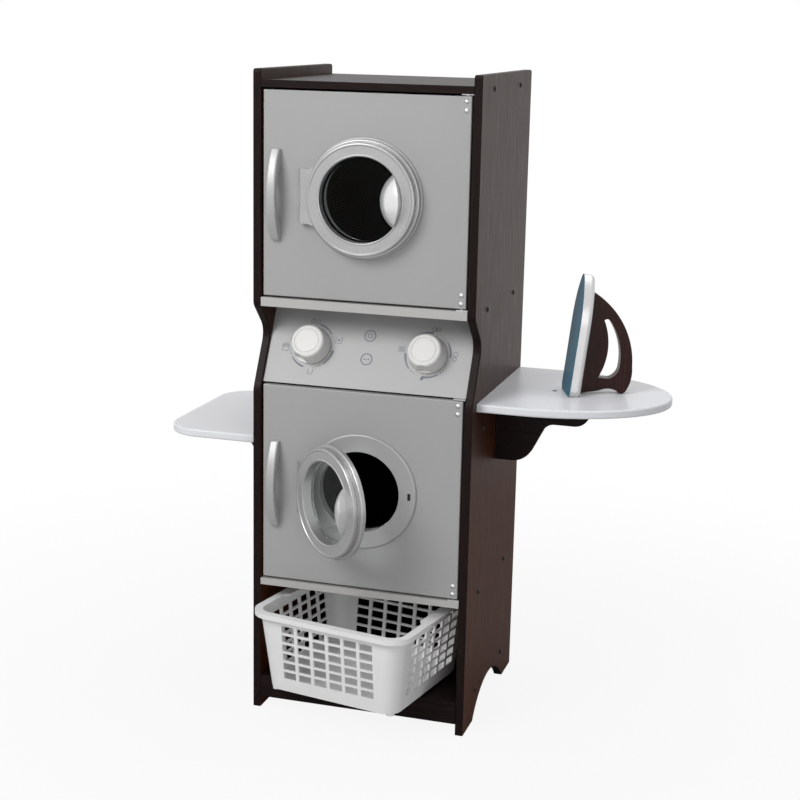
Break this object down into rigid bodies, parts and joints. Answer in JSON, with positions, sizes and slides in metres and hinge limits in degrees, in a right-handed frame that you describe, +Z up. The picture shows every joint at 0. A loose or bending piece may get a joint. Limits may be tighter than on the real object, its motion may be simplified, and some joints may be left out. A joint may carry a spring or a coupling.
{
  "type": "toy laundry station",
  "caption": "Child's play laundry tower: dryer over washer with swinging doors and portholes, turning knobs, side tables, lattice basket and toy iron.",
  "frame": {"origin": "middle of the overall box, on the floor", "axes": "+Z up, front with the doors towards -Y, +X to the side of the ironing table"},
  "size_m": [0.7796, 0.4427, 0.9999],
  "materials": {
    "espresso": "dark espresso stained board, satin lacquer, fine vertical grain",
    "silver_board": "board with silver grey paint, satin",
    "white_board": "board with white lacquer",
    "silver_plastic": "silver painted moulded plastic",
    "white_plastic": "white moulded plastic",
    "knob_plastic": "white moulded plastic, satin",
    "clear_plastic": "clear plastic pane",
    "steel": "plated steel",
    "black_bolt": "black bolt heads",
    "catch_plastic": "black catch",
    "teal_gloss": "glossy steel blue sole"
  },
  "bodies": {
    "cabinet": {"side_panel_left": "espresso", "side_panel_right": "espresso", "roof": "espresso", "dryer_shelf": "silver_board", "mid_board": "espresso", "washer_shelf": "silver_board", "basket_shelf": "espresso", "front_rail": "espresso", "back_panel": "espresso", "control_panel": "silver_board", "folding_table": "white_board", "folding_bracket": "espresso", "ironing_table": "white_board", "ironing_bracket": "espresso", "cabinet_bolts": "black_bolt", "dryer_pivots": "steel", "washer_pivots": "steel", "dryer_catch": "catch_plastic", "washer_catch": "catch_plastic"},
    "dryer_door_body": {"dryer_door": "silver_board", "dryer_handle": "silver_plastic", "dryer_porthole_frame": "silver_plastic", "dryer_hinge_screws": "steel", "dryer_strike": "steel", "dryer_porthole_pin": "steel"},
    "dryer_porthole_body": {"dryer_porthole_ring": "silver_plastic", "dryer_porthole_pane": "clear_plastic", "dryer_porthole_grip": "silver_plastic"},
    "washer_door_body": {"washer_door": "silver_board", "washer_handle": "silver_plastic", "washer_porthole_frame": "silver_plastic", "washer_hinge_screws": "steel", "washer_strike": "steel", "washer_porthole_pin": "steel"},
    "washer_porthole_body": {"washer_porthole_ring": "silver_plastic", "washer_porthole_pane": "clear_plastic", "washer_porthole_grip": "silver_plastic"},
    "left_knob_body": {"left_knob": "knob_plastic", "left_spindle": "steel"},
    "right_knob_body": {"right_knob": "knob_plastic", "right_spindle": "steel"},
    "basket_body": {"basket": "white_plastic"},
    "iron_body": {"iron_sole_plate": "teal_gloss", "iron_sole_board": "silver_board", "iron_handle": "espresso"}
  },
  "joints": [
    {"name": "dryer_door_hinge", "type": "hinge", "parent": "cabinet", "child": "dryer_door_body", "pos_m": [0.0978, -0.08423, 0.81795], "axis": [0, 0, 1], "range_deg": [0, 105]},
    {"name": "washer_door_hinge", "type": "hinge", "parent": "cabinet", "child": "washer_door_body", "pos_m": [0.0978, -0.08423, 0.37395], "axis": [0, 0, 1], "range_deg": [0, 105]},
    {"name": "dryer_porthole_hinge", "type": "hinge", "parent": "dryer_door_body", "child": "dryer_porthole_body", "pos_m": [-0.14625, -0.09848, 0.81795], "axis": [0, 0, -1], "range_deg": [0, 100]},
    {"name": "washer_porthole_hinge", "type": "hinge", "parent": "washer_door_body", "child": "washer_porthole_body", "pos_m": [-0.14625, -0.09848, 0.37395], "axis": [0, 0, -1], "range_deg": [-39, 61]},
    {"name": "left_knob_turn", "type": "hinge", "parent": "cabinet", "child": "left_knob_body", "pos_m": [-0.14425, -0.05389, 0.58608], "axis": [0, -0.8829, 0.4695], "continuous": true},
    {"name": "right_knob_turn", "type": "hinge", "parent": "cabinet", "child": "right_knob_body", "pos_m": [0.03975, -0.05389, 0.58608], "axis": [0, -0.8829, 0.4695], "continuous": true},
    {"name": "basket_slide", "type": "slide", "parent": "cabinet", "child": "basket_body", "axis": [0, -1, 0], "range_m": [-0.1, 0.25]},
    {"name": "iron_lift", "type": "slide", "parent": "cabinet", "child": "iron_body", "axis": [0, 0, 1], "range_m": [0, 0.15]}
  ]
}
